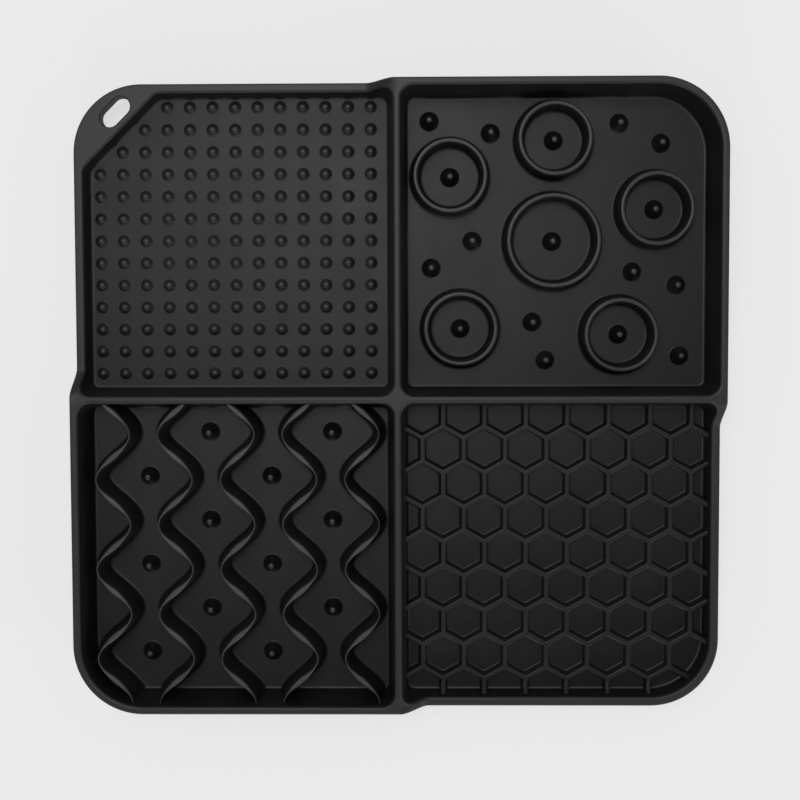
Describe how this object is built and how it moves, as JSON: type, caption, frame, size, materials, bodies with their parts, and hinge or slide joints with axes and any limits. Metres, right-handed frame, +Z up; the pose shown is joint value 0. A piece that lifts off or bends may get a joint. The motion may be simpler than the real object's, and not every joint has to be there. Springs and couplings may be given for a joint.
{
  "type": "lick mat",
  "caption": "Square silicone lick mat with four raised-edge trays textured with dots, ringed nubs, wavy walls and a honeycomb, plus a corner hanging slot.",
  "frame": {"origin": "centre of the mat's plan, on the plane that the lips of the suction cups stand on", "axes": "+X to the right and +Y away from the user when the hanging tab is at the far left, +Z up out of the trays"},
  "size_m": [0.205, 0.199, 0.0172],
  "materials": {
    "wall_silicone": "matte moulded silicone, dark grey",
    "floor_silicone": "matte moulded silicone, dark grey",
    "texture_silicone": "matte moulded silicone, dark grey",
    "cup_silicone": "matte moulded silicone, dark grey"
  },
  "bodies": {
    "root": {"dot_tray_floor": "floor_silicone", "ring_tray_floor": "floor_silicone", "wave_tray_floor": "floor_silicone", "honeycomb_tray_floor": "floor_silicone", "divider_cross": "wall_silicone", "dot_tray_rim": "wall_silicone", "ring_tray_rim": "wall_silicone", "wave_tray_rim": "wall_silicone", "honeycomb_tray_rim": "wall_silicone", "hanging_tab": "wall_silicone", "lick_dots": "texture_silicone", "ring_wall_1": "texture_silicone", "ring_wall_2": "texture_silicone", "ring_wall_3": "texture_silicone", "ring_wall_4": "texture_silicone", "ring_wall_5": "texture_silicone", "ring_wall_6": "texture_silicone", "ring_nubs": "texture_silicone", "loose_nubs": "texture_silicone", "wave_wall_1": "texture_silicone", "wave_wall_2": "texture_silicone", "wave_wall_3": "texture_silicone", "wave_wall_4": "texture_silicone", "wave_wall_5": "texture_silicone", "wave_nubs": "texture_silicone", "honeycomb_ribs": "texture_silicone", "suction_cups": "cup_silicone"}
  },
  "joints": []
}
